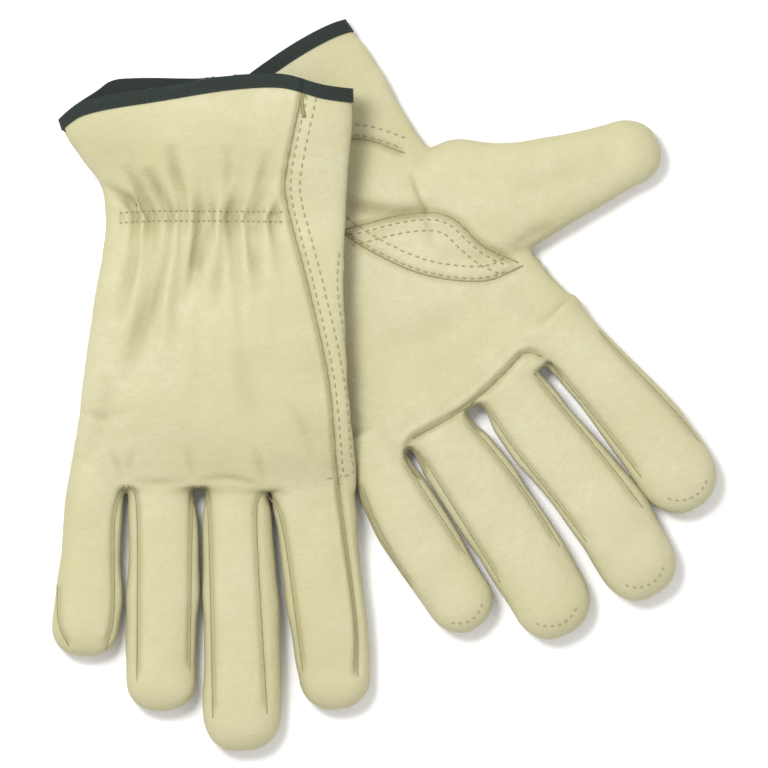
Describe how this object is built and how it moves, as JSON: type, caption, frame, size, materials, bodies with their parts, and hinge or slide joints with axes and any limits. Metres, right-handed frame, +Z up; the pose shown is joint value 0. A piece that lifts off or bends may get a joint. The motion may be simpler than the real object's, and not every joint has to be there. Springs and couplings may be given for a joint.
{
  "type": "work gloves",
  "caption": "Pair of cream grain-leather work gloves with shirred wrists and green hem binding, one back up on the other palm up, with hinged fingers and open cuffs.",
  "frame": {"origin": "centre of the pair's bounding box in plan, on the surface the gloves lie on", "axes": "+Z up; the right glove's fingers point to -Y and its hem to +Y; the left glove lies under it, its fingers to -Y and +X and its thumb to +X"},
  "size_m": [0.248, 0.277, 0.0404],
  "materials": {
    "leather": "soft grain",
    "binding": "woven",
    "elastic": "woven",
    "thread": "twisted"
  },
  "bodies": {
    "left_hand": {"left_back_panel": "leather", "left_hem_binding": "binding", "left_palm_panel": "leather", "left_thumb_leaf": "leather", "left_wrist_elastic": "elastic"},
    "right_hand": {"right_back_panel": "leather", "right_hem_binding": "binding", "right_palm_panel": "leather", "right_seam_thread": "thread", "right_shirring_thread": "thread", "right_thumb_back": "leather", "right_thumb_front": "leather", "right_thumb_leaf": "leather", "right_wrist_elastic": "elastic"},
    "left_index": {"left_index_back": "leather", "left_index_front": "leather", "left_index_gussets": "leather"},
    "left_little": {"left_little_back": "leather", "left_little_front": "leather", "left_little_gussets": "leather"},
    "left_middle": {"left_middle_back": "leather", "left_middle_front": "leather", "left_middle_gussets": "leather"},
    "left_ring": {"left_ring_back": "leather", "left_ring_front": "leather", "left_ring_gussets": "leather"},
    "left_thumb": {"left_thumb_back": "leather", "left_thumb_front": "leather"},
    "right_index": {"right_index_back": "leather", "right_index_front": "leather", "right_index_gussets": "leather"},
    "right_little": {"right_little_back": "leather", "right_little_front": "leather", "right_little_gussets": "leather"},
    "right_middle": {"right_middle_back": "leather", "right_middle_front": "leather", "right_middle_gussets": "leather"},
    "right_ring": {"right_ring_back": "leather", "right_ring_front": "leather", "right_ring_gussets": "leather"}
  },
  "joints": [
    {"name": "right_lift", "type": "slide", "parent": "left_hand", "child": "right_hand", "axis": [0, 0, 1], "range_m": [0, 0.16]},
    {"name": "left_little_curl", "type": "hinge", "parent": "left_hand", "child": "left_little", "pos_m": [0.00143, -0.03491, 0.016], "axis": [-0.893, -0.4501, 0], "range_deg": [0, 75]},
    {"name": "left_ring_curl", "type": "hinge", "parent": "left_hand", "child": "left_ring", "pos_m": [0.02227, -0.02214, 0.016], "axis": [-0.8587, -0.5125, 0], "range_deg": [0, 75]},
    {"name": "left_middle_curl", "type": "hinge", "parent": "left_hand", "child": "left_middle", "pos_m": [0.04533, -0.008, 0.016], "axis": [-0.8024, -0.5967, 0], "range_deg": [0, 75]},
    {"name": "left_index_curl", "type": "hinge", "parent": "left_hand", "child": "left_index", "pos_m": [0.07128, 0.0079, 0.016], "axis": [-0.7644, -0.6447, 0], "range_deg": [0, 75]},
    {"name": "right_little_curl", "type": "hinge", "parent": "right_hand", "child": "right_little", "pos_m": [-0.10751, -0.04183, 0.01699], "axis": [-0.9966, 0.0829, 0], "range_deg": [0, 60]},
    {"name": "right_ring_curl", "type": "hinge", "parent": "right_hand", "child": "right_ring", "pos_m": [-0.08306, -0.04189, 0.01759], "axis": [-0.9999, 0.0145, 0], "range_deg": [0, 60]},
    {"name": "right_middle_curl", "type": "hinge", "parent": "right_hand", "child": "right_middle", "pos_m": [-0.05602, -0.04207, 0.01898], "axis": [-0.9996, -0.0267, 0], "range_deg": [0, 60]},
    {"name": "right_index_curl", "type": "hinge", "parent": "right_hand", "child": "right_index", "pos_m": [-0.02549, -0.04244, 0.02045], "axis": [-0.9932, -0.1163, 0], "range_deg": [0, 60]},
    {"name": "left_thumb_fold", "type": "hinge", "parent": "left_hand", "child": "left_thumb", "pos_m": [0.04845, 0.0729, 0.016], "axis": [0.2593, -0.9658, 0], "range_deg": [0, 75]}
  ]
}
